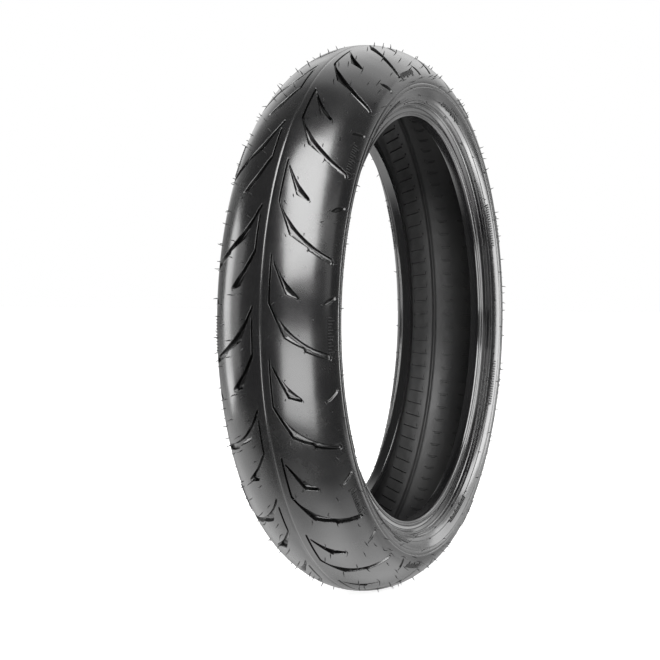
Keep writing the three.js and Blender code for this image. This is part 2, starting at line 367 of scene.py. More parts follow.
# %% Moulded rubber, for the tread, the sidewalls and the rim strips
def moulded_rubber(name, dark, bloomed, roughness, bloom_cover, turning=0.0, coat=0.3, grain_values=None):
    material, surface = new_material(name, roughness, specular=0.8, coat=coat, coat_roughness=0.14)
    tree = material.node_tree
    bloom = place_group(tree, bloom_group, Cover=bloom_cover)
    colour = blend_colours(tree, bloom.outputs["Mask"], dark, bloomed)
    tree.links.new(colour, surface.inputs["Base Color"])
    rougher = math_node(tree, "MULTIPLY", bloom.outputs["Mask"], 0.22)
    rough = math_node(tree, "ADD", rougher, roughness)
    tree.links.new(rough, surface.inputs["Roughness"])
    grain = place_group(tree, grain_group, **(grain_values or {}))
    relief = add_bump(tree, surface, grain.outputs["Height"], 1.0)
    if turning:
        marks = place_group(tree, turning_group)
        add_bump(tree, surface, marks.outputs["Height"], turning, under=relief)
    return material


tread_rubber = moulded_rubber("tread_rubber", (0.0026, 0.0026, 0.0028), (0.0062, 0.0060, 0.0057), 0.22, 0.8)
sidewall_rubber = moulded_rubber(
    "sidewall_rubber", (0.0030, 0.0030, 0.0032), (0.0070, 0.0067, 0.0063), 0.17, 0.3, turning=0.000002,
    grain_values={"Fine_Height": 0.000002, "Soft_Height": 0.0003},
)
rim_strip_rubber = moulded_rubber(
    "rim_strip_rubber", (0.0028, 0.0028, 0.0030), (0.0064, 0.0061, 0.0058), 0.15, 0.2, turning=0.000002,
    grain_values={"Fine_Height": 0.000002, "Soft_Height": 0.00015},
)
hair_rubber = moulded_rubber(
    "hair_rubber", (0.004, 0.004, 0.004), (0.008, 0.008, 0.008), 0.45, 0.3, coat=0.0,
    grain_values={"Soft_Height": 0.0},
)
mark_rubber = moulded_rubber(
    "mark_rubber", (0.0012, 0.0012, 0.0013), (0.003, 0.003, 0.003), 0.5, 0.3, coat=0.0,
    grain_values={"Soft_Height": 0.0},
)
print([m.name for m in (tread_rubber, sidewall_rubber, rim_strip_rubber, hair_rubber, mark_rubber)])

# %% [markdown]
# The grooves and the fine lines round the tread are painted darker, as painted shade. The tread's mesh
# will carry a value named "groove", 0 on the surface and 1 down in them, and it turns the tread rubber there
# near black and takes off its coat. This stands for the shade of walls that mirror each other.

# %% Painted shade in the grooves
def paint_groove_shade(material):
    tree = material.node_tree
    surface = tree.nodes["Principled BSDF"]
    groove = add_node(tree, "ShaderNodeAttribute", attribute_name="groove").outputs["Fac"]
    colour = surface.inputs["Base Color"].links[0].from_socket
    painted_groove_shade = add_node(tree, "ShaderNodeMix", data_type="RGBA")
    tree.links.new(groove, painted_groove_shade.inputs[0])
    tree.links.new(colour, painted_groove_shade.inputs[6])
    # Painted shade: the base colour goes near black down in the grooves and the fine lines round the tread.
    painted_groove_shade.inputs[7].default_value = (0.0006, 0.0006, 0.0006, 1.0)
    tree.links.new(painted_groove_shade.outputs[2], surface.inputs["Base Color"])
    # The coat is taken off there as well, so that the painted shade stays dark.
    matt = math_node(tree, "MULTIPLY", groove, -0.3)
    tree.links.new(math_node(tree, "ADD", matt, 0.3, clamp=True), surface.inputs["Coat Weight"])


paint_groove_shade(tread_rubber)
print("grooves use the mesh value named groove:", tread_rubber.name)

# %% [markdown]
# The inner liner was pressed by a rubber bladder and not by steel. Talc and release fluid dry on it, so
# it is greyer, duller and more uneven than the outside.

# %% Liner rubber
def liner_finish():
    material, surface = new_material("liner_rubber", 0.42, specular=0.4)
    tree = material.node_tree
    release = place_group(tree, bloom_group, Cloud_Scale=9.0, Speckle_Scale=60.0, Cover=1.0)
    clean, dusty = (0.0035, 0.0035, 0.0038), (0.0120, 0.0116, 0.0110)
    colour = blend_colours(tree, release.outputs["Mask"], clean, dusty)
    tree.links.new(colour, surface.inputs["Base Color"])
    duller = math_node(tree, "MULTIPLY", release.outputs["Mask"], 0.25)
    tree.links.new(math_node(tree, "ADD", duller, 0.40), surface.inputs["Roughness"])
    coarse = {"Fine_Scale": 700.0, "Fine_Height": 0.00003, "Soft_Scale": 90.0, "Soft_Height": 0.0003}
    grain = place_group(tree, grain_group, **coarse)
    add_bump(tree, surface, grain.outputs["Height"], 1.0)
    return material


liner_rubber = liner_finish()
print(liner_rubber.name)

# %% [markdown]
# The layers inside are hidden on a finished tyre, but they are part of it, and they show when it is cut
# open. Cord is brown thread under a skim of rubber, and bead wire is steel with a bronze coat.

# %% Cord, filler and wire finishes for the layers inside
def cord_finish(name, threads, shear, thread_colour, skim_colour):
    material, surface = new_material(name, 0.75, specular=0.3)
    tree = material.node_tree
    cord = place_group(tree, cord_group, Threads=threads, Shear=shear)
    colour = blend_colours(tree, cord.outputs["Gap"], thread_colour, skim_colour)
    tree.links.new(colour, surface.inputs["Base Color"])
    add_bump(tree, surface, cord.outputs["Height"], 0.0003)
    return material


body_cord = cord_finish("body_cord", 420.0, 0.0, (0.16, 0.11, 0.065), (0.030, 0.026, 0.022))
belt_cord_right = cord_finish("belt_cord_right", 360.0, 2400.0, (0.20, 0.15, 0.05), (0.030, 0.027, 0.022))
belt_cord_left = cord_finish("belt_cord_left", 360.0, -2400.0, (0.20, 0.15, 0.05), (0.030, 0.027, 0.022))
chafer_fabric = cord_finish("chafer_fabric", 700.0, 3200.0, (0.09, 0.08, 0.065), (0.024, 0.023, 0.022))
filler_rubber = moulded_rubber(
    "filler_rubber", (0.007, 0.007, 0.007), (0.02, 0.019, 0.018), 0.55, 0.9, coat=0.0
)


def wire_finish():
    material, surface = new_material("bead_wire", 0.3, metallic=1.0)
    tree = material.node_tree
    tarnish = place_group(tree, bloom_group, Cloud_Scale=30.0, Speckle_Scale=400.0, Cover=1.2)
    colour = blend_colours(tree, tarnish.outputs["Mask"], (0.62, 0.43, 0.23), (0.22, 0.14, 0.08))
    tree.links.new(colour, surface.inputs["Base Color"])
    rougher = math_node(tree, "MULTIPLY", tarnish.outputs["Mask"], 0.3)
    tree.links.new(math_node(tree, "ADD", rougher, 0.24), surface.inputs["Roughness"])
    grain = place_group(tree, grain_group, Fine_Scale=5000.0, Fine_Height=0.000003, Soft_Height=0.0)
    add_bump(tree, surface, grain.outputs["Height"], 1.0)
    return material


bead_wire = wire_finish()
print([m.name for m in (body_cord, belt_cord_right, chafer_fabric, filler_rubber, bead_wire)])

# %% [markdown]
# ## Turning a ring
#
# A layer of a tyre is an outline turned about the axle. Blender's Screw modifier would do it, but the
# points are few and regular, so the mesh is made straight from a grid: one row for each point of the
# outline, one column for each step round. Joining the last row to the first closes the solid.

# %% Meshes from vertices and faces
def add_piece(name, vertices, faces, material, slot, sharp_degrees=32.0):
    """A smooth-shaded piece of the tyre that rides on its one body."""
    mesh = bpy.data.meshes.new(name)
    mesh.from_pydata([tuple(v) for v in vertices], [], [tuple(int(i) for i in f) for f in faces])
    mesh.validate()
    mesh.materials.append(material)
    mesh.shade_smooth()
    mesh.set_sharp_from_angle(angle=math.radians(sharp_degrees))
    piece = bpy.data.objects.new(name, mesh)
    bpy.context.collection.objects.link(piece)
    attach(piece, "root")
    return piece


def grid_faces(rows, columns):
    """Quads over a grid of vertices that closes both ways."""
    row, column = np.meshgrid(np.arange(rows), np.arange(columns), indexing="ij")
    next_row, next_column = (row + 1) % rows, (column + 1) % columns
    corners = [row * columns + column, row * columns + next_column]
    corners += [next_row * columns + next_column, next_row * columns + column]
    return np.stack(corners, axis=-1).reshape(-1, 4)


def outline_area(outline):
    y, r = np.array(outline).T
    return 0.5 * float(np.sum(y * np.roll(r, -1) - np.roll(y, -1) * r))


def turned_ring(name, outline, material, slot, steps):
    """A closed ring from a closed outline of (y, radius) points in millimetres."""
    outline = np.array(outline, float)
    if outline_area(outline) < 0:
        outline = outline[::-1]
    degrees = np.arange(steps) * 360.0 / steps
    vertices = spun(outline[:, :1], outline[:, 1:], degrees[None, :]).reshape(-1, 3)
    return add_piece(name, vertices, grid_faces(len(outline), steps), material, slot)


def mirrored(outline):
    return [(-y, r) for y, r in outline][::-1]


print("a ring of 4 points and 240 steps has", len(grid_faces(4, 240)), "faces")

# %% [markdown]
# ## Corners with a radius
#
# Moulded edges are never dead sharp. An outline is written as corners, each with the radius of its
# rounding, and the helper swaps each corner for a short arc that touches both of its sides.

# %% Rounded outlines
def rounded(corners, arc_steps=4):
    """A closed outline from (y, radius from the axle, corner radius) rows."""
    points = np.array([corner[:2] for corner in corners], float)
    outline = []
    for index, (here, size) in enumerate(zip(points, (corner[2] for corner in corners))):
        before, after = points[index - 1] - here, points[(index + 1) % len(points)] - here
        before_length, after_length = np.linalg.norm(before), np.linalg.norm(after)
        if not size or before_length < 1e-9 or after_length < 1e-9:
            outline.append(tuple(here))
            continue
        before, after = before / before_length, after / after_length
        half = 0.5 * math.acos(float(np.clip(before @ after, -1, 1)))
        reach = min(size / math.tan(half), 0.49 * before_length, 0.49 * after_length)
        bisector = before + after
        centre = here + bisector / np.linalg.norm(bisector) * reach / math.cos(half)
        start, end = here + before * reach - centre, here + after * reach - centre
        for share in np.linspace(0, 1, arc_steps + 1):
            spoke = (1 - share) * start + share * end
            spoke *= np.linalg.norm(start) / np.linalg.norm(spoke)
            outline.append(tuple(centre + spoke))
    return outline


print("a rounded square has", len(rounded([(0, 0, 1), (4, 0, 1), (4, 4, 1), (0, 4, 1)])), "points")

# %% [markdown]
# ## The tread pattern
#
# The pattern repeats eighteen times round the tyre. Each repeat has a long groove that sweeps from the
# centre to the shoulder, a dagger-shaped groove beside it, and a shallow nick on the shoulder. A narrow
# stem along the centre joins the head of one groove to its neighbour. The left side is the same pattern
# mirrored and shifted, so that the grooves on the two sides take turns.
#
# A groove is written as stretches: each is a smooth curve through a few points, and stretches meet at
# corners. A point is a distance across the tread in millimetres and an angle round it in degrees.

# %% Groove outlines in one repeat
REPEATS = 18
PITCH = 360.0 / REPEATS
MM_PER_DEGREE = math.radians(1) * OUTER_RADIUS

STEM_TOP, STEM_WIDTH = 13.6, 2.0
right_long_groove = [
    [(7.2, STEM_TOP), (7.2 + STEM_WIDTH, STEM_TOP - 0.1)],
    [(7.2 + STEM_WIDTH, STEM_TOP - 0.1), (9.5, 4.5)],
    [(9.5, 4.5), (14.0, 2.4), (21.7, 0.4), (33.3, -2.1), (50.0, -4.5), (69.5, -6.2)],
    [(69.5, -6.2), (71.2, -6.8), (70.0, -7.6), (67.5, -7.5)],
    [(67.5, -7.5), (55.0, -6.45), (43.2, -5.35)],
    [(43.2, -5.35), (42.0, -4.7)],
    [(42.0, -4.7), (33.0, -3.8), (23.3, -2.6)],
    [(23.3, -2.6), (7.4, 4.1)],
    [(7.4, 4.1), (7.2, STEM_TOP)],
]
right_dagger = [
    [(10.7, 12.3), (21.7, 8.8), (30.0, 6.9), (37.0, 5.5)],
    [(37.0, 5.5), (37.9, 5.1), (36.6, 4.75)],
    [(36.6, 4.75), (24.2, 5.7)],
    [(24.2, 5.7), (10.2, 11.9)],
    [(10.2, 11.9), (10.7, 12.3)],
]
left_long_groove = [
    [(-8.3, 3.2), (-9.4, 3.9)],
    [(-9.4, 3.9), (-15.8, 1.4), (-21.7, -0.3), (-33.3, -2.85), (-50.0, -5.2), (-69.5, -7.1)],
    [(-69.5, -7.1), (-71.2, -7.7), (-70.0, -8.5), (-67.5, -8.4)],
    [(-67.5, -8.4), (-55.0, -7.3), (-43.2, -6.0)],
    [(-43.2, -6.0), (-42.0, -5.4)],
    [(-42.0, -5.4), (-33.0, -4.5), (-23.3, -3.3)],
    [(-23.3, -3.3), (-8.3, 3.2)],
]
left_dagger = [
    [(-8.6, 1.5), (-10.6, 1.4)],
    [(-10.6, 1.4), (-10.9, -5.6)],
    [(-10.9, -5.6), (-21.7, -9.1), (-30.0, -11.1), (-37.0, -12.7)],
    [(-37.0, -12.7), (-37.9, -13.1), (-36.6, -13.5)],
    [(-36.6, -13.5), (-24.4, -12.6)],
    [(-24.4, -12.6), (-8.9, -6.2)],
    [(-8.9, -6.2), (-8.6, 1.5)],
]
shoulder_nick = [
    [(60.8, 3.8), (65.0, 4.95), (69.5, 5.55), (76.0, 6.1)],
    [(76.0, 6.1), (76.4, 5.4), (70.0, 4.45), (65.5, 3.9), (60.8, 3.8)],
]
left_nick = [[(-across, around) for across, around in stretch] for stretch in shoulder_nick]
GROOVES = {
    "right long": (right_long_groove, 1.0),
    "right dagger": (right_dagger, 1.0),
    "left long": (left_long_groove, 1.0),
    "left dagger": (left_dagger, 1.0),
    "right nick": (shoulder_nick, 0.7),
    "left nick": (left_nick, 0.7),
}
print(len(GROOVES), "grooves in each of", REPEATS, "repeats")

# %% [markdown]
# A groove's lip, wall and floor are rings that follow its outline, each a little further in and deeper.
# The rings are flat drawings at this stage. Depth comes later, when the drawing is wrapped on the tyre.

# %% Curves and insets on the flat drawing
def curve_through(points, step):
    """Points on a smooth curve through the given ones. The last is left for the next stretch."""
    points = np.array(points, float)
    padded = np.vstack([2 * points[0] - points[1], points, 2 * points[-1] - points[-2]])
    curve = []
    for a, b, c, d in zip(padded, padded[1:], padded[2:], padded[3:]):
        count = max(1, round(float(np.linalg.norm(c - b)) / step))
        for t in np.arange(count) / count:
            squared, cubed = 2 * a - 5 * b + 4 * c - d, 3 * b - 3 * c + d - a
            curve.append(0.5 * (2 * b + (c - a) * t + squared * t**2 + cubed * t**3))
    return curve


def flat_outline(stretches, step=2.4):
    """A groove's outline in millimetres on the flat drawing, running anticlockwise."""
    outline = []
    for stretch in stretches:
        flat = [(across, around * MM_PER_DEGREE) for across, around in stretch]
        outline += curve_through(flat, step)
    outline = np.array(outline)
    return outline if outline_area(outline) > 0 else outline[::-1]


def inward(outline):
    """Each point's direction into the groove, longer at corners so that the sides stay parallel."""
    ahead = np.roll(outline, -1, axis=0) - outline
    ahead /= np.linalg.norm(ahead, axis=1, keepdims=True)
    normal = np.stack([-ahead[:, 1], ahead[:, 0]], axis=1)
    bisector = normal + np.roll(normal, 1, axis=0)
    bisector /= np.linalg.norm(bisector, axis=1, keepdims=True)
    return bisector / np.clip(np.sum(bisector * normal, axis=1), 0.35, 1.0)[:, None]


def room_across(outline):
    """How far each point can see across the groove before it meets the other side."""
    direction = inward(outline)
    start, run = outline, np.roll(outline, -1, axis=0) - outline
    room = np.full(len(outline), 30.0)
    for index, (here, way) in enumerate(zip(outline, direction)):
        offset = start - here
        cross = way[0] * run[:, 1] - way[1] * run[:, 0]
        cross = np.where(np.abs(cross) < 1e-9, 1e-9, cross)
        far = (offset[:, 0] * run[:, 1] - offset[:, 1] * run[:, 0]) / cross
        share = (offset[:, 0] * way[1] - offset[:, 1] * way[0]) / cross
        hits = far[(share >= 0) & (share <= 1) & (far > 1e-3)]
        room[index] = hits.min() if len(hits) else room[index]
    for _ in range(3):
        room = np.minimum(room, 0.5 * (np.roll(room, 1) + np.roll(room, -1)) + 0.6)
    return room


def inset(outline, distance, widest):
    """The outline moved inwards. Where the groove is narrow, it moves less."""
    share = np.minimum(1.0, 0.38 * room_across(outline) / widest)
    return outline + inward(outline) * (distance * np.where(distance > 0, share, 1.0))[:, None]


def groove_depth(across):
    """Deepest beside the centre, shallower along the stems and out on the shoulder."""
    return np.interp(np.abs(across), [8.0, 13.0, 22.0, 45.0, 70.0], [3.2, 4.4, 5.0, 4.6, 2.8])


# Each ring is its inset in millimetres and its share of the groove's depth.
GROOVE_RINGS = [(-0.25, 0.0), (0.0, 0.06), (0.2, 0.2), (0.75, 0.86), (1.2, 1.0)]
print("long groove outline has", len(flat_outline(right_long_groove)), "points")

# %% [markdown]
# One repeat is meshed on the flat drawing with a constrained Delaunay triangulation, which keeps every
# groove edge exactly. A Boolean would also cut the grooves, but its long thin faces shade badly on a
# glossy curve. The seam between repeats is a zigzag that steers clear of all the grooves, and the rows
# of points start on it, so the repeats meet point to point.

# %% The cell's seam and rows
SEAM = [(-TREAD_EDGE, -11), (-60, -11.2), (-50, -14.4), (-37.6, -17.8), (-24.4, -16.6), (-17, -14)]
SEAM += [(-8.6, -11.2), (0, -6.5), (8, -1.3), (16, -4), (23, -7), (37, -9.4), (55, -10.2), (68, -11)]
SEAM += [(TREAD_EDGE, -11)]
PARTING_LINE = [-0.4, 0.0, 0.4]
PARTING_DEPTH, EDGE_DEPTH = 0.34, 0.7
EDGE_LINE = [82.2, 82.6, 83.2, 83.6]
ROW_SPACING = 3.1
STEPS_ROUND = 20  # points of each row in one repeat


def seam_at(across):
    return np.interp(across, [s for s, _ in SEAM], [a for _, a in SEAM])


def row_places():
    """Distances across the tread where the rows of points lie."""
    special = PARTING_LINE + EDGE_LINE + [-s for s in EDGE_LINE] + [s for s, _ in SEAM]
    count = round(2 * TREAD_EDGE / ROW_SPACING)
    even = np.linspace(-TREAD_EDGE, TREAD_EDGE, count + 1)
    clear = [s for s in even if min(abs(s - other) for other in special) > 0.45 * ROW_SPACING]
    return np.array(sorted(set(special + clear)))


def line_relief(across):
    """Depth of the fine lines that run round the tread: a fine parting line and a deeper edge line."""
    run = np.abs(across)
    parting = np.interp(run, PARTING_LINE[1:], [PARTING_DEPTH, 0.0])
    edge = np.interp(run, EDGE_LINE, [0.0, EDGE_DEPTH, EDGE_DEPTH, 0.0])
    return np.where(run < 1.0, parting, edge)


rows = row_places()
print(len(rows), "rows of points across the tread")

# %% Where a point lies from a groove
def inside(points, outline):
    """True for each point that lies in the closed outline."""
    x, y = points[:, :1], points[:, 1:]
    ax, ay = outline.T
    bx, by = np.roll(outline, -1, axis=0).T
    crosses = (ay > y) != (by > y)
    with np.errstate(divide="ignore", invalid="ignore"):
        meets = x < (bx - ax) * (y - ay) / (by - ay) + ax
    return np.sum(crosses & meets, axis=1) % 2 == 1


def distance_to(points, outline):
    """Each point's distance to the nearest side of the closed outline."""
    start, run = outline, np.roll(outline, -1, axis=0) - outline
    offset = points[:, None, :] - start[None]
    share = np.clip(np.sum(offset * run, axis=2) / np.sum(run * run, axis=1), 0, 1)
    return np.min(np.linalg.norm(offset - share[..., None] * run, axis=2), axis=1)


print("ready to sort points")

# %% The drawing of one repeat
def draw_cell():
    """Points (across, round in mm), their depths, and the edges that the mesh must keep."""
    steps = np.arange(STEPS_ROUND + 1) * PITCH / STEPS_ROUND
    across = np.repeat(rows, len(steps))
    around = (seam_at(rows)[:, None] + steps[None, :]).ravel() * MM_PER_DEGREE
    points = np.stack([across, around], axis=1)
    depths = line_relief(across)
    index = np.arange(len(points)).reshape(len(rows), len(steps))
    on_border = np.zeros(len(points), bool)
    on_border[index[:, 0]] = on_border[index[:, -1]] = True
    on_border[index[[0, -1], :]] = True
    lines = PARTING_LINE[1:] + EDGE_LINE
    kept_rows = [i for i, s in enumerate(rows) if min(abs(abs(s) - line) for line in lines) < 1e-6]
    on_border[index[kept_rows].ravel()] = True

    keep = np.ones(len(points), bool)
    rings = []
    for stretches, share in GROOVES.values():
        outline = flat_outline(stretches)
        for shift in (-1, 0, 1):
            moved = outline + np.array([0.0, shift * PITCH * MM_PER_DEGREE])
            near = distance_to(points, moved) < 1.5
            keep &= on_border | ~near
            within = inside(points, moved) & ~on_border
            depths = np.where(within, groove_depth(across) * share, depths)
        for distance, depth_share in GROOVE_RINGS:
            ring = inset(outline, distance, GROOVE_RINGS[-1][0])
            rings.append((ring, groove_depth(ring[:, 0]) * share * depth_share))

    new_index = np.cumsum(keep) - 1
    edges = []
    for border in (index[:, 0], index[:, -1], *index[[0, -1]], *index[kept_rows]):
        edges += list(zip(new_index[border[:-1]], new_index[border[1:]]))
    points, depths = [points[keep]], [depths[keep]]
    total = len(points[0])
    for ring, ring_depths in rings:
        count = len(ring)
        edges += [(total + i, total + (i + 1) % count) for i in range(count)]
        points.append(ring)
        depths.append(ring_depths)
        total += count
    seams = new_index[index[:, 0]], new_index[index[:, -1]]
    ends = new_index[index[0]], new_index[index[-1]]
    return np.vstack(points), np.concatenate(depths), edges, seams, ends


cell_points, cell_depths, cell_edges, cell_seams, cell_ends = draw_cell()
print(len(cell_points), "points and", len(cell_edges), "kept edges in the drawing")

# %% Triangulate the drawing
def triangulate(points, edges):
    """Triangles over the points that keep the given edges, with only those inside the cell."""
    flat = [Vector(p) for p in points]
    keep = [(int(a), int(b)) for a, b in edges]
    out_points, _, triangles, sources, _, _ = geometry.delaunay_2d_cdt(flat, keep, [], 0, 1e-6)
    source = np.array([s[0] if s else -1 for s in sources])
    triangles = np.array([t for t in triangles if len(t) == 3])
    centres = np.array([tuple(p) for p in out_points])[triangles].mean(axis=1)
    low = seam_at(centres[:, 0]) * MM_PER_DEGREE
    good = (centres[:, 1] > low) & (centres[:, 1] < low + PITCH * MM_PER_DEGREE)
    triangles = source[triangles[good]]
    return triangles[(triangles >= 0).all(axis=1)], int(np.sum(source < 0))


cell_triangles, crossings = triangulate(cell_points, cell_edges)
print(len(cell_triangles), "triangles in the cell, and", crossings, "points where kept edges crossed")

# %% [markdown]
# Now the drawing is wrapped on the tyre eighteen times. Points on one repeat's far seam are the next
# repeat's near seam. The underside is plain rings of quads: it follows the belts, steps down where they
# stop, and meets the tread's edge on each side, so the tread is one closed solid.

# %% The tread's underside
BOND_GAP = 0.25
PLY = 0.8
TREAD_DEPTH = 8.0
BELT_HALF_WIDTH = 56.0
SHOULDER_RUBBER, EDGE_RUBBER, RIM_LINE_RUBBER = 8.2, 4.4, 2.0
belt_outer_depth = TREAD_DEPTH + BOND_GAP
belt_inner_depth = belt_outer_depth + PLY + BOND_GAP
under_belts = belt_inner_depth + PLY
SHOULDER_PLACE = CROWN_LENGTH + SHOULDER_RADIUS * math.radians(68 - 49)


def corner_point(depth):
    """The point below the tread's corner, where the shoulder and the sidewall meet at an angle."""
    middle = 0.5 * (SHOULDER_END + SIDEWALL_START)
    reach = depth / math.cos(middle - SHOULDER_END)
    return tuple(tread_corner - reach * np.array([math.sin(middle), math.cos(middle)]))


def below(across, depths):
    return list(zip(*section(np.array(across, float), np.array(depths, float))))


def underside_half():
    """Points from the centre line to the tread's edge."""
    flat = np.linspace(0, BELT_HALF_WIDTH, 12)
    past = BELT_HALF_WIDTH + 1.5
    outwards = np.linspace(past, SHOULDER_PLACE, 6)
    deep = np.interp(outwards, [past, SHOULDER_PLACE], [under_belts, SHOULDER_RUBBER])
    half = below(flat, np.full(len(flat), TREAD_DEPTH)) + below([past], [TREAD_DEPTH])
    half += below(outwards, deep) + below([TREAD_EDGE - 4.5], [6.0])
    return half + [corner_point(EDGE_RUBBER)]


right_half = underside_half()
tread_underside = right_half[::-1] + [(-y, r) for y, r in right_half[1:]]
print(len(tread_underside), "points across the underside")

# %% Wrap the repeats and close the tread
def own_points():
    """The drawing's points without its far seam, which is the next repeat's near seam."""
    far = set(int(i) for i in cell_seams[1])
    return np.array([i for i in range(len(cell_points)) if i not in far])


def wrap_tread():
    count = len(cell_points)
    near, far = cell_seams
    joined = {int(f): int(n) for n, f in zip(near, far)}
    own = own_points()
    place = np.full(count, -1)
    place[own] = np.arange(len(own))
    y, r = section(cell_points[own, 0], cell_depths[own])
    degrees = cell_points[own, 1] / MM_PER_DEGREE

    vertices, faces = [], []
    for repeat in range(REPEATS):
        vertices.append(spun(y, r, degrees + repeat * PITCH))
        here, there = repeat * len(own), (repeat + 1) % REPEATS * len(own)
        lookup = np.where(place >= 0, place + here, 0)
        for f, n in joined.items():
            lookup[f] = place[n] + there
        faces.append(lookup[cell_triangles])
    left_end, right_end = (
        np.concatenate([place[end[:-1]] + k * len(own) for k in range(REPEATS)]) for end in cell_ends
    )

    surface_count = REPEATS * len(own)
    columns = REPEATS * STEPS_ROUND
    start = seam_at(TREAD_EDGE)
    turn = start + np.arange(columns) * 360.0 / columns
    under = np.array(tread_underside)
    vertices.append(spun(under[:, :1], under[:, 1:], turn[None, :]).reshape(-1, 3))
    loops = [right_end]
    loops += [surface_count + row * columns + np.arange(columns) for row in range(len(under))]
    loops.append(left_end)
    quads = []
    for upper, lower in zip(loops, loops[1:]):
        quads.append(np.stack([upper, lower, np.roll(lower, -1), np.roll(upper, -1)], axis=1))
    return np.vstack(vertices), [*np.vstack(faces), *np.vstack(quads)], len(own)


tread_vertices, tread_faces, cell_size = wrap_tread()
print(len(tread_vertices), "vertices and", len(tread_faces), "faces in the tread")

# %% [markdown]
# The drawing's triangles only come near to the true curve, and a glossy surface shows that as a faint
# quilt. So on the plain surface each vertex gets the exact direction of the arcs as its normal, and
# Blender works out the others from the faces.

# %% The tread piece
def true_normals():
    """The exact normal for each vertex on the plain surface, and zero for the rest."""
    normals = np.zeros((len(tread_vertices), 3))
    own = own_points()
    across, depth = cell_points[own, 0], cell_depths[own]
    angle = facing(across)
    side = np.where(across < 0, -1.0, 1.0)
    run = np.abs(across)
    plain = (np.abs(depth) < 1e-9) & (run > 0.9) & ((run < 82.0) | (run > 83.9)) & (run < TREAD_EDGE - 0.1)
    for repeat in range(REPEATS):
        turn = np.radians(cell_points[own, 1] / MM_PER_DEGREE + repeat * PITCH)
        upright = np.cos(angle)
        out = np.stack([upright * np.cos(turn), side * np.sin(angle), upright * np.sin(turn)], axis=1)
        normals[repeat * cell_size : (repeat + 1) * cell_size] = np.where(plain[:, None], out, 0.0)
    return normals


def groove_shade_mask():
    """1 for each vertex down in a groove or a fine line round the tread, 0 on the surface and the underside.
    It marks where shade is painted.
    """
    own = own_points()
    values = np.zeros(len(tread_vertices))
    values[: REPEATS * cell_size] = np.tile(np.clip(cell_depths[own] / 0.4 - 0.1, 0, 1), REPEATS)
    return values


tread = add_piece("tread_skin", tread_vertices, tread_faces, tread_rubber, "tread_rubber")
tread.data.attributes.new("groove", "FLOAT", "POINT").data.foreach_set("value", groove_shade_mask())
tread.data.normals_split_custom_set_from_vertices([tuple(n) for n in true_normals()])
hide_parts("tread")
print("tread size in metres:", tuple(round(v, 4) for v in tread.dimensions))

# %% [markdown]
# ## The layers between the tread and the liner
#
# Every layer keeps to the same outline at its own depth. The depths are known at four stations: the
# crown, the middle of the shoulder, the tread's corner and the rim line. Between stations they change
# evenly, and a gap of a quarter of a millimetre stands for each bond. Below the rim line the layers run
# down the bead, where each is an upright wall at its own distance from the middle plane.

# %% Depths of the layers at the stations
LINER = 1.2
FILLER_ROOM = 4.2
CROWN_STATION = 58.0
STATIONS = [CROWN_STATION, SHOULDER_PLACE, TREAD_EDGE, RIM_LINE]


def layer_depths():
    """Depth of each layer's outer face at the stations, from the outer body ply inwards."""
    step = PLY + BOND_GAP
    rubber = np.array([under_belts, SHOULDER_RUBBER, EDGE_RUBBER, RIM_LINE_RUBBER])
    ply_outer = rubber + BOND_GAP
    ply_inner = ply_outer + step + np.array([0, 0, 0, FILLER_ROOM])
    return {"ply_outer": ply_outer, "ply_inner": ply_inner, "liner": ply_inner + step}


DEPTHS = layer_depths()


SHOULDER_PLACES = [62.5, 67.0, 71.0, SHOULDER_PLACE, 79.0, 82.0]
WALL_PLACES = [91.0, 95.5, 100.0, RIM_LINE]


def along_layer(depths):
    """Points at those station depths from the centre line to the rim line."""
    tread_places = [*np.linspace(0, BELT_HALF_WIDTH, 12), CROWN_STATION, *SHOULDER_PLACES]
    points = below(tread_places, np.interp(tread_places, STATIONS, depths))
    points.append(corner_point(depths[2]))
    return points + below(WALL_PLACES, np.interp(WALL_PLACES, STATIONS, depths))


def whole_layer(outer_half, inner_half):
    """A closed outline from bead to bead, from the outer and inner faces of one half."""
    outer = mirrored(outer_half)[:-1] + outer_half
    inner = mirrored(inner_half)[:-1] + inner_half
    return outer + inner[::-1]


print({name: [round(float(d), 2) for d in depths] for name, depths in DEPTHS.items()})

# %% [markdown]
# The belts are two strips of stiff cord that cross each other under the tread. The body plies carry the
# load from bead to bead. The inner ply wraps each bead core and is turned up on its outside, and the
# outer ply runs down over the turn-up.

# %% Belts and body plies
def belt_outline(depth):
    places = np.linspace(0, BELT_HALF_WIDTH, 12)
    return whole_layer(below(places, np.full(12, depth)), below(places, np.full(12, depth + PLY)))


WALL_TOP, PLY_FLOOR = 226.0, 220.1
ply_outer_end = [[(47.1, WALL_TOP), (47.1, 221.6)], [(46.3, WALL_TOP), (46.3, 221.6)]]
outer_ply_outline = whole_layer(
    along_layer(DEPTHS["ply_outer"]) + ply_outer_end[0],
    along_layer(DEPTHS["ply_outer"] + PLY) + ply_outer_end[1],
)
turn_up_depth = DEPTHS["ply_outer"][3] + PLY + BOND_GAP
turn_up_outside = [(46.1, PLY_FLOOR - PLY), (46.1, WALL_TOP), *below([RIM_LINE], [turn_up_depth])]
turn_up_inside = [(45.3, PLY_FLOOR), (45.3, WALL_TOP), *below([RIM_LINE], [turn_up_depth + PLY])]
inner_ply_outline = whole_layer(
    along_layer(DEPTHS["ply_inner"]) + [(41.1, WALL_TOP), (41.1, PLY_FLOOR)] + turn_up_inside,
    along_layer(DEPTHS["ply_inner"] + PLY) + [(40.3, WALL_TOP), (40.3, PLY_FLOOR - PLY)] + turn_up_outside,
)
for name, outline, material, slot in (
    ("belt_ply_outer", belt_outline(belt_outer_depth), belt_cord_right, "belt_cord"),
    ("belt_ply_inner", belt_outline(belt_inner_depth), belt_cord_left, "belt_cord"),
    ("body_ply_outer", outer_ply_outline, body_cord, "body_cord"),
    ("body_ply_inner", inner_ply_outline, body_cord, "body_cord"),
):
    layer = turned_ring(name + "_cords", outline, material, slot, steps=180)
    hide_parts(name)
    print(layer.name, tuple(round(v, 4) for v in layer.dimensions))

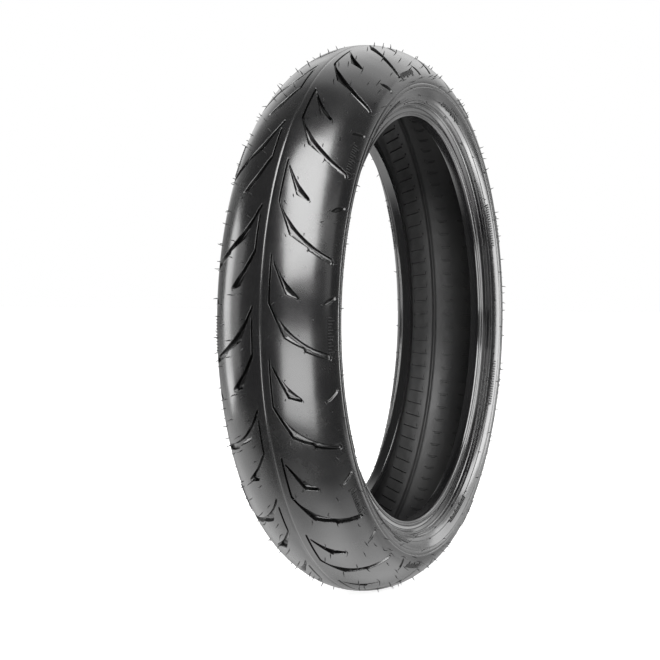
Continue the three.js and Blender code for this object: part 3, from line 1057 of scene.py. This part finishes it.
# %% [markdown]
# ## The inner liner
#
# The liner holds the air. Its inside face took the shape of the curing bladder, which leaves a shallow
# recessed band on each side of the middle. The lining ends at each toe.

# %% Inner liner
LINER_FOOT = 221.4
BLADDER_BAND = [32.4, 35.3, 35.9, 38.8]
BAND_RECESS = 0.95


def liner_face(across):
    """Depth of the liner's inside face below the tyre's outline."""
    depth = np.interp(np.abs(across), STATIONS, DEPTHS["liner"] + LINER)
    return depth - np.interp(np.abs(across), BLADDER_BAND, [0, BAND_RECESS, BAND_RECESS, 0])


def liner_outline():
    places = sorted([*np.linspace(0, BELT_HALF_WIDTH, 21), *BLADDER_BAND, *SHOULDER_PLACES])
    inside_half = below(places, liner_face(places)) + [corner_point(DEPTHS["liner"][2] + LINER)]
    inside_half += below(WALL_PLACES, liner_face(WALL_PLACES)) + [(37.9, WALL_TOP), (37.9, LINER_FOOT)]
    outside_half = along_layer(DEPTHS["liner"]) + [(39.2, WALL_TOP), (39.2, LINER_FOOT)]
    return whole_layer(outside_half, inside_half)


liner = turned_ring("inner_liner_skin", liner_outline(), liner_rubber, "liner_rubber", steps=300)
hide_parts("inner_liner")
print(liner.name, len(liner.data.polygons), "faces")

# %% [markdown]
# ## The beads
#
# Each bead is built round a core of wound steel wire. The wires here are separate rings in a square
# stack, which is how a strip of them looks when it is cut. A wedge of hard filler stands on the core.

# %% Bead cores
WIRE_RADIUS = 0.46
CORE_MIDDLE = (43.2, 222.32)
WIRES_EACH_WAY = 4
WIRE_SPACING = 0.955


def wire_stack(side):
    """Vertices and faces of one bead's wires."""
    offsets = (np.arange(WIRES_EACH_WAY) - (WIRES_EACH_WAY - 1) / 2) * WIRE_SPACING
    spoke = np.radians(np.arange(8) * 45.0)
    degrees = np.arange(180) * 2.0
    vertices, faces = [], []
    for across in offsets:
        for up in offsets:
            y = side * (CORE_MIDDLE[0] + across) + side * WIRE_RADIUS * np.cos(spoke)
            r = CORE_MIDDLE[1] + up + side * WIRE_RADIUS * np.sin(spoke)
            faces.append(grid_faces(8, 180) + 8 * 180 * len(vertices))
            vertices.append(spun(y[:, None], r[:, None], degrees[None, :]).reshape(-1, 3))
    return np.vstack(vertices), np.vstack(faces)


SIDES = {"right": 1, "left": -1}
for side_name, side in SIDES.items():
    core = add_piece("bead_wires_" + side_name, *wire_stack(side), bead_wire, "bead_wire", sharp_degrees=80)
    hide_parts("bead_core_" + side_name)
    print(core.name, len(core.data.polygons), "faces")

# %% [markdown]
# The filler is a wedge of hard rubber on top of the core, which keeps the foot of the sidewall stiff. The
# chafer is a strip of woven fabric round the outside of the bead, which takes the rubbing of the rim.

# %% Fillers and chafers
filler_outer = turn_up_depth + PLY + BOND_GAP
filler_inner = float(DEPTHS["ply_inner"][3]) - BOND_GAP
filler_foot = np.array(below([RIM_LINE], [filler_inner])[0])
filler_high = np.array(corner_point(DEPTHS["ply_inner"][2] - BOND_GAP))
filler_tip = tuple(filler_foot + 0.45 * (filler_high - filler_foot))
CORE_TOP = 224.3
filler_corners = [
    (41.3, CORE_TOP + BOND_GAP, 0.4),
    (45.1, CORE_TOP + BOND_GAP, 0.4),
    (45.1, WALL_TOP + 0.1, 1.0),
    (*below([RIM_LINE], [filler_outer])[0], 2.0),
    (*filler_tip, 0.3),
    (*filler_foot, 0.0),
    (41.3, WALL_TOP, 1.0),
]
HEEL_START = 220.4
chafer_corners = [
    (48.0, 226.2, 0.2),
    (48.0, HEEL_START, 1.8),
    (46.4, 218.35, 1.2),
    (39.4, 218.35, 0.5),
    (39.4, WALL_TOP, 0.2),
    (40.1, WALL_TOP, 0.2),
    (40.1, 219.05, 0.3),
    (46.0, 219.05, 0.6),
    (47.3, HEEL_START, 1.2),
    (47.3, 226.2, 0.2),
]
for node, corners, material, slot in (
    ("bead_filler", filler_corners, filler_rubber, "filler_rubber"),
    ("chafer", chafer_corners, chafer_fabric, "chafer_fabric"),
):
    for side_name, side in SIDES.items():
        outline = rounded(corners)
        outline = outline if side > 0 else mirrored(outline)
        ring = turned_ring(node + "_ring_" + side_name, outline, material, slot, steps=180)
        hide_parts(node + "_" + side_name)
        print(ring.name, len(ring.data.polygons), "faces")

# %% [markdown]
# ## Sidewalls
#
# The sidewall plate of the mould is turned steel. It leaves a fine raised ring just below the tread's edge
# and another above the rim line, with a fine groove between them. Each is a small change to the outline.

# %% Relief rings on an outline
def ring_relief(place, rings):
    """Height of the rings at a place. Each is (middle, width, height) in mm, and a groove is below 0."""
    height = 0.0
    for middle, width, rise in rings:
        near = np.clip(1.35 - 1.35 * np.abs(np.asarray(place) - middle) / (0.5 * width), 0, 1)
        height = height + rise * near * near * (3 - 2 * near)
    return height


def ring_places(start, end, rings, coarse=1.6, fine=0.14):
    """Places from start to end, close together where there is a ring."""
    places = list(np.linspace(start, end, max(2, round((end - start) / coarse)) + 1))
    for middle, width, _ in rings:
        places += list(np.arange(middle - width / 2, middle + width / 2 + fine / 2, fine))
    between = {p for p in np.round(places, 4) if start + 0.05 < p < end - 0.05}
    return np.array(sorted({start, end} | between))


print("ring height at its middle:", float(ring_relief(5.0, [(5.0, 1.0, 0.4)])))

# %% Sidewalls
SIDEWALL_RINGS = [(88.0, 1.0, 0.4), (97.6, 1.0, -0.4), (102.6, 1.0, 0.5)]
places = ring_places(TREAD_EDGE + 0.06, RIM_LINE - 0.03, SIDEWALL_RINGS)
sidewall_outside = below(places, -ring_relief(places, SIDEWALL_RINGS))
inner_places = np.array([RIM_LINE - 0.3, 100.0, 95.5, 91.0])
rubber_depths = DEPTHS["ply_outer"] - BOND_GAP
sidewall_inside = below(inner_places, np.interp(inner_places, STATIONS, rubber_depths))
corner_y, corner_r = corner_point(EDGE_RUBBER)
sidewall_inside.append((corner_y, corner_r - 0.3))
sidewall_outline = sidewall_outside + sidewall_inside
for side_name, side in SIDES.items():
    outline = sidewall_outline if side > 0 else mirrored(sidewall_outline)
    wall = turned_ring("sidewall_skin_" + side_name, outline, sidewall_rubber, "sidewall_rubber", steps=300)
    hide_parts("sidewall_" + side_name)
    print(wall.name, len(wall.data.polygons), "faces")

# %% [markdown]
# ## Rim strips
#
# Below the sidewall come the rim line's two ribs, with a groove between them. They show a fitter whether
# the tyre sits evenly on its rim. The face turns upright for the rim flange, rounds the heel, which has a
# fine groove and a rib of its own, and runs in along the bead seat to the toe.

# %% Rim strips
FLANGE_FACE, FLANGE_TOP, HEEL_RADIUS = 49.5, 227.0, 3.5
TOE = (37.5, 216.2)
RIM_RINGS = [(1.4, 1.9, 1.2), (3.2, 1.2, -0.9), (5.3, 1.0, 0.5)]
FLANGE_RINGS = [(0.9, 1.2, -0.7), (5.6, 1.4, 0.9)]
HEEL_RINGS = [(1.3, 1.2, -0.5), (3.0, 1.4, 0.6)]


def relief_run(start, end, rings):
    """Points from start to end on a straight face that carries rings. Distances are from the start."""
    start, end = np.array(start), np.array(end)
    length = float(np.linalg.norm(end - start))
    ahead = (end - start) / length
    outward = np.array([-ahead[1], ahead[0]])
    places = ring_places(0.0, length, rings)
    points = start + places[:, None] * ahead + ring_relief(places, rings)[:, None] * outward
    return [tuple(point) for point in points]


def rim_strip_outline():
    top = below([RIM_LINE + 0.03], [0.0])[0]
    outside = relief_run(top, (FLANGE_FACE, FLANGE_TOP), RIM_RINGS)[:-1]
    outside += relief_run((FLANGE_FACE, FLANGE_TOP), (FLANGE_FACE, HEEL_START), FLANGE_RINGS)
    heel_places = ring_places(0.4, HEEL_RADIUS * math.radians(90), HEEL_RINGS, coarse=0.7)
    turn = math.radians(90) + heel_places / HEEL_RADIUS
    reach = HEEL_RADIUS + ring_relief(heel_places, HEEL_RINGS)
    y = FLANGE_FACE - HEEL_RADIUS + reach * np.sin(turn)
    outside += list(zip(y, HEEL_START + reach * np.cos(turn)))
    corners = [(TOE[0] + 1.4, TOE[1] + 0.08), (TOE[0] + 0.4, TOE[1] + 0.15), (TOE[0], TOE[1] + 0.7)]
    inside_top = below([RIM_LINE + 0.3], [RIM_LINE_RUBBER])[0]
    stop = LINER_FOOT - 2 * BOND_GAP
    inside = [(TOE[0], stop), (39.0, stop), (39.2, 218.1), (46.3, 218.1), (48.2, HEEL_START)]
    return outside + corners + inside + [(48.2, FLANGE_TOP + 0.2), inside_top]


for side_name, side in SIDES.items():
    outline = rim_strip_outline()
    outline = outline if side > 0 else mirrored(outline)
    name = "rim_strip_skin_" + side_name
    strip = turned_ring(name, outline, rim_strip_rubber, "rim_strip_rubber", steps=300)
    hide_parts("rim_strip_" + side_name)
    print(strip.name, len(strip.data.polygons), "faces")

# %% [markdown]
# ## Raised marks
#
# Marks cut into the mould come out raised. They are patches of surface lifted by part of a millimetre,
# each a small closed block whose foot is sunk in the rubber. Plain hatch bars stand where a maker would
# put its wording. Inside, each vent groove of the bladder has left an L-shaped ridge.

# %% Blocks that follow the surface
def raised_blocks(patches, face_depth, rise, sunk, bevel=0.18):
    """Vertices and faces of blocks over patches (across from, across to, degrees from, degrees to)."""
    vertices, faces = [], []
    for low_s, high_s, low_a, high_a in patches:
        columns = max(2, round(abs(high_s - low_s) / 3.0) + 1)
        lines = max(2, round(abs(high_a - low_a) / 1.0) + 1)
        bevel_s, bevel_a = math.copysign(bevel, high_s - low_s), bevel / MM_PER_DEGREE
        for margin, depth_change in ((1.0, -rise), (0.0, sunk)):
            s = np.linspace(low_s + margin * bevel_s, high_s - margin * bevel_s, columns)
            a = np.linspace(low_a + margin * bevel_a, high_a - margin * bevel_a, lines)
            y, r = section(s, face_depth(s) + depth_change)
            vertices.append(spun(y[:, None], r[:, None], a[None, :]).reshape(-1, 3))
        base = sum(len(v) for v in vertices[:-2])
        top = base + np.arange(columns * lines).reshape(columns, lines)
        bottom = top + columns * lines
        for i in range(columns - 1):
            for j in range(lines - 1):
                faces.append((top[i, j], top[i + 1, j], top[i + 1, j + 1], top[i, j + 1]))
                faces.append((bottom[i, j], bottom[i, j + 1], bottom[i + 1, j + 1], bottom[i + 1, j]))
        border = [(i, 0) for i in range(columns)] + [(columns - 1, j) for j in range(1, lines)]
        border += [(i, lines - 1) for i in range(columns - 2, -1, -1)]
        border += [(0, j) for j in range(lines - 2, 0, -1)]
        for here, there in zip(border, border[1:] + border[:1]):
            faces.append((top[here], bottom[here], bottom[there], top[there]))
    return np.vstack(vertices), faces


def face_outwards(piece):
    """Turns the faces of a piece made of closed blocks so that they all face out."""
    work = bmesh.new()
    work.from_mesh(piece.data)
    bmesh.ops.recalc_face_normals(work, faces=work.faces)
    work.to_mesh(piece.data)
    work.free()


def flat_depth(across):
    return np.zeros_like(across)


print("a block has", len(raised_blocks([(10, 16, 0, 1)], flat_depth, 0.4, 0.3)[1]), "faces")

# %% Hatch bars on the shoulder and the sidewall
MARK_RISE, MARK_FOOT = 0.8, 0.4


def hatch(middle_degrees, spread_degrees, low_s, high_s, bars):
    """A row of bars of different lengths, like the lines of a rule."""
    patches = []
    pitch = spread_degrees / bars
    for bar in range(bars):
        start = middle_degrees - spread_degrees / 2 + bar * pitch
        reach = (1.0, 0.55, 0.8, 0.55, 0.7)[bar % 5]
        patches.append((low_s, low_s + (high_s - low_s) * reach, start, start + 0.5 * pitch))
    return patches


for side_name, side in SIDES.items():
    shoulder_patches, sidewall_patches = [], []
    for group in range(9):
        shoulder_patches += hatch(38.0 + 40.0 * group, 8.0, 67.0 * side, 74.5 * side, 12)
    for group in range(8):
        sidewall_patches += hatch(199.5 + 45.0 * group, 13.0, 94.0 * side, 99.0 * side, 18)
    for middle in (111.5, 291.5):
        sidewall_patches += hatch(middle, 5.0, 91.2 * side, 93.4 * side, 8)
    for name, patches, slot in (
        ("shoulder_marks_", shoulder_patches, "tread_rubber"),
        ("sidewall_marks_", sidewall_patches, "sidewall_rubber"),
    ):
        blocks = raised_blocks(patches, flat_depth, MARK_RISE, MARK_FOOT)
        marks = add_piece(name + side_name, *blocks, mark_rubber, slot)
        face_outwards(marks)
        print(marks.name, len(patches), "bars")

# %% [markdown]
# The bladder has shallow vent grooves of its own, which let air out from under it. They leave two rows of
# ridges on each half of the liner, plain short blocks too: a bold row out on the shoulder and a faint one
# beside the middle. The liner's face is below the tyre's outline, so a rise there is a greater depth.

# %% Ridges from the bladder's vents
RIDGES_ROUND = 108
RIDGE_WIDTH = 2.0 / MM_PER_DEGREE
TICK = 4.2 / MM_PER_DEGREE


def outer_row(side):
    """Ridges on the shoulder, each with a short tick at its inner end."""
    patches = []
    for start in np.arange(RIDGES_ROUND) * 360.0 / RIDGES_ROUND:
        patches.append((45.0 * side, 66.0 * side, start, start + RIDGE_WIDTH))
        patches.append((44.5 * side, 47.0 * side, start - TICK, start + 0.5 * RIDGE_WIDTH))
    return patches


def middle_row(side):
    """Fainter ridges beside the centre, in pairs."""
    patches = []
    for start in np.arange(RIDGES_ROUND) * 360.0 / RIDGES_ROUND:
        patches.append((7.5 * side, 22.0 * side, start, start + 0.5 * RIDGE_WIDTH))
        patches.append((10.0 * side, 20.0 * side, start + RIDGE_WIDTH, start + 1.5 * RIDGE_WIDTH))
        patches.append((21.0 * side, 22.4 * side, start - 0.7 * TICK, start + 0.4 * RIDGE_WIDTH))
    return patches


for row_name, row_patches, rise in (("outer", outer_row, 1.4), ("middle", middle_row, 0.6)):
    for side_name, side in SIDES.items():
        blocks = raised_blocks(row_patches(side), liner_face, -rise, -0.4)
        name = "bladder_ridges_" + row_name + "_" + side_name
        ridges = add_piece(name, *blocks, liner_rubber, "liner_rubber")
        face_outwards(ridges)
        print(ridges.name, len(ridges.data.polygons), "faces")

# %% [markdown]
# ## Moulding hairs
#
# Air leaves the mould through small vents, and rubber follows it. Each vent leaves a hair. A new tyre
# has them at the ends and bends of its grooves, where air is trapped last, and in rings down each
# sidewall. Every hair is a thin tapered tube that leans and curls a little, from a seeded generator.

# %% One hair
HAIR_SIDES, HAIR_RINGS = 6, 6
HAIR_RADIUS, HAIR_SUNK = 0.5 * MM, 0.0004
random = np.random.default_rng(41)


def hair(root, out, length, width):
    """Vertices and faces of a hair from root, in metres, growing along out."""
    out = out / np.linalg.norm(out)
    lean = np.cross(out, random.normal(size=3))
    lean /= np.linalg.norm(lean)
    tilt, curl = random.uniform(0.0, 0.35), random.uniform(-0.35, 0.35)
    other = np.cross(out, lean)
    spokes = np.radians(np.arange(HAIR_SIDES) * 360.0 / HAIR_SIDES)
    vertices = []
    for share in np.linspace(0, 1, HAIR_RINGS):
        centre = root + out * (length * share - HAIR_SUNK) + lean * length * (tilt * share + curl * share**2)
        centre[2] = max(centre[2], cad_low.z + width)
        radius = width * (1.25 - 0.75 * share) * (0.55 if share == 1.0 else 1.0)
        vertices += [centre + radius * (math.cos(t) * lean + math.sin(t) * other) for t in spokes]
    faces = []
    for ring in range(HAIR_RINGS - 1):
        for k in range(HAIR_SIDES):
            here, there = ring * HAIR_SIDES + k, ring * HAIR_SIDES + (k + 1) % HAIR_SIDES
            faces.append((here, there, there + HAIR_SIDES, here + HAIR_SIDES))
    faces.append(tuple(range(HAIR_SIDES))[::-1])
    faces.append(tuple((HAIR_RINGS - 1) * HAIR_SIDES + k for k in range(HAIR_SIDES)))
    return vertices, faces


def hair_piece(name, roots, slot):
    """One piece with a hair at each (across, degrees, length in mm, depth) of roots."""
    vertices, faces = [], []
    for across, degrees, length, depth in roots:
        angle = float(facing(across))
        turn = math.radians(degrees)
        side = -1.0 if across < 0 else 1.0
        upright = math.cos(angle)
        out = np.array([upright * math.cos(turn), side * math.sin(angle), upright * math.sin(turn)])
        root = spun(*section(across, depth), degrees)
        hair_vertices, hair_faces = hair(root, out, length * MM, HAIR_RADIUS)
        faces += [tuple(i + len(vertices) for i in face) for face in hair_faces]
        vertices += hair_vertices
    piece = add_piece(name, vertices, faces, hair_rubber, slot, sharp_degrees=70)
    face_outwards(piece)
    return piece


print("a hair has", len(hair(np.zeros(3), np.array([0.0, 0.0, 1.0]), 0.004, 0.0004)[0]), "vertices")

# %% Hairs on the tread
RIGHT_VENTS = [(22.5, 9.3), (21.3, 5.4), (38.7, 4.7), (37.5, -2.0), (20.3, -3.0), (43.0, -5.5), (13.3, 4.2)]
RIGHT_VENTS += [(73.5, -7.2), (75.0, -5.5), (77.5, 5.5), (59.5, 4.0), (52.0, 1.0), (80.0, -1.0)]
RIGHT_VENTS += [(66.0, 1.5), (70.0, -3.0), (62.0, -9.0)]
LEFT_VENTS = [(-22.5, 1.0), (-20.8, -4.6), (-39.6, -14.2), (-41.5, -3.2), (-43.0, -6.6), (-24.0, -8.0)]
LEFT_VENTS += [(-25.0, -14.0), (-73.5, -8.1), (-75.0, -6.4), (-77.5, 5.5), (-59.5, 4.0), (-52.0, 0.0)]
LEFT_VENTS += [(-80.0, -2.0), (-66.0, 1.5), (-70.0, -3.0), (-62.0, -9.0)]


def tread_roots(vents):
    roots = []
    for repeat in range(REPEATS):
        for across, degrees in vents:
            length = random.uniform(3.0, 5.2)
            roots.append((across, degrees + repeat * PITCH, length, 0.0))
    return roots


for side_name, vents in (("right", RIGHT_VENTS), ("left", LEFT_VENTS)):
    hairs = hair_piece("tread_hairs_" + side_name, tread_roots(vents), "tread_rubber")
    print(hairs.name, len(vents) * REPEATS, "hairs")

# %% Hairs on the sidewalls
for side_name, side in SIDES.items():
    roots = []
    for step in range(24):
        roots.append((88.0 * side, 3.5 + 15.0 * step, random.uniform(2.5, 4.5), 0.0))
        roots.append((104.0 * side, 4.0 + 15.0 * step, random.uniform(2.5, 4.5), 0.0))
        roots.append((97.0 * side, 11.0 + 15.0 * step, random.uniform(2.0, 3.5), 0.0))
    hairs = hair_piece("sidewall_hairs_" + side_name, roots, "sidewall_rubber")
    print(hairs.name, len(roots), "hairs")

# %% [markdown]
# ## Light and floor
#
# A white room would turn black rubber grey. So the room is dim, with soft glows from a few directions, and
# lights are placed where the tread mirrors them: two panels in front with a dark gap between them, strips
# to the left, and cards to the right. Two small cards close behind the right sidewall draw its bright edge.

# %% Studio
def soft_panel(name, azimuth, elevation, distance, width, height, radiance, aim_at=(0, 0, 0)):
    """A soft rectangular light. Azimuth 0 is +X, and 90 is +Y."""
    data = bpy.data.lights.new(name, "AREA")
    data.shape = "RECTANGLE"
    data.size, data.size_y = width, height
    data.energy = radiance * math.pi * width * height
    panel = bpy.data.objects.new(name, data)
    bpy.context.collection.objects.link(panel)
    a, e = math.radians(azimuth), math.radians(elevation)
    out = Vector((math.cos(a) * math.cos(e), math.sin(a) * math.cos(e), math.sin(e)))
    panel.location = Vector(aim_at) + out * distance
    panel.rotation_mode = "QUATERNION"
    panel.rotation_quaternion = (-out).to_track_quat("-Z", "Y")
    panel.visible_camera = False
    return panel


soft_panel("front_panel_high", 30, 44, 3.0, 2.5, 3.3, 8.6)
soft_panel("front_panel_low", 28, -21, 3.0, 2.3, 1.9, 5.4)
soft_panel("left_strip", -84, 2, 2.4, 0.7, 1.9, 4.6)
soft_panel("left_card", -66, 4, 2.4, 0.8, 1.7, 1.2)
soft_panel("back_left_card", -137, 24, 3.0, 1.1, 1.7, 0.5)
soft_panel("right_card", 76, 19, 2.6, 0.8, 1.6, 0.7)
soft_panel("right_strip", 106, 0, 0.34, 0.1, 0.26, 6.5, aim_at=(-0.24, 0.055, 0.03))
soft_panel("right_back_box", 139, 17, 0.45, 0.25, 0.2, 1.9, aim_at=(-0.1, 0.06, -0.22))
soft_panel("floor_card", 90, -89, 0.58, 0.5, 0.5, 1.1, aim_at=(-0.4, 0.42, 0.295))
soft_panel("right_back_card", 148, 0, 2.6, 1.0, 3.2, 0.5)

world = bpy.data.worlds.new("studio")
bpy.context.scene.world = world
world.use_nodes = True
tree = world.node_tree
background = tree.nodes["Background"]
background.inputs["Color"].default_value = (1, 1, 1, 1)
ray = add_node(tree, "ShaderNodeLightPath")
direction = add_node(tree, "ShaderNodeTexCoord")
room = 0.12
# Each glow is its direction, the cosines where it starts and is full, and its strength.
GLOWS = (
    ((-0.9, -0.3, 0.15), 0.45, 1.0, 0.5),
    ((-0.74, 0.0, 0.67), 0.79, 0.97, 0.9),
    ((-0.46, 0.27, -0.85), 0.74, 1.0, 1.4),
    ((0.0, 0.0, -1.0), 0.82, 0.98, 1.0),
    ((-0.25, -0.72, -0.65), 0.75, 1.0, 1.2),
)
for towards, start, end, strength in GLOWS:
    aligned = add_node(tree, "ShaderNodeVectorMath", operation="DOT_PRODUCT")
    aligned.inputs[1].default_value = Vector(towards).normalized()
    tree.links.new(direction.outputs["Generated"], aligned.inputs[0])
    glow = add_node(tree, "ShaderNodeMapRange", {"From Min": start, "From Max": end, "To Max": strength})
    glow.interpolation_type = "SMOOTHSTEP"
    tree.links.new(aligned.outputs["Value"], glow.inputs["Value"])
    room = math_node(tree, "ADD", glow.outputs["Result"], room)
seen = add_node(tree, "ShaderNodeMix", data_type="FLOAT")
seen.inputs[3].default_value = 1.0
tree.links.new(ray.outputs["Is Camera Ray"], seen.inputs[0])
tree.links.new(room, seen.inputs[2])
tree.links.new(seen.outputs[0], background.inputs["Strength"])
bpy.context.scene.view_settings.view_transform = "Standard"

# %% [markdown]
# The floor is pale and gives off a little light of its own, so that it meets the white room with no
# horizon. It is left out of reflections and shadows, because the glows above already stand for its light.

# %% Floor
FLOOR_SIZE, FLOOR_DROP = 14.0, 0.0003
floor_mesh = bpy.data.meshes.new("floor")
floor_level = cad_low.z - FLOOR_DROP
corners = [(x * FLOOR_SIZE, y * FLOOR_SIZE, floor_level) for x, y in ((-1, -1), (1, -1), (1, 1), (-1, 1))]
floor_mesh.from_pydata(corners, [], [(0, 1, 2, 3)])
floor = bpy.data.objects.new("floor", floor_mesh)
bpy.context.collection.objects.link(floor)
floor_paint, floor_surface = new_material("floor_paint", 0.8, specular=0.1)
floor_surface.inputs["Base Color"].default_value = (0.92, 0.92, 0.92, 1)
floor_surface.inputs["Emission Color"].default_value = (1, 1, 1, 1)
floor_surface.inputs["Emission Strength"].default_value = 0.86
floor_mesh.materials.append(floor_paint)
floor.visible_glossy = False
floor.visible_shadow = False
print("floor at", round(cad_low.z, 4), "m")
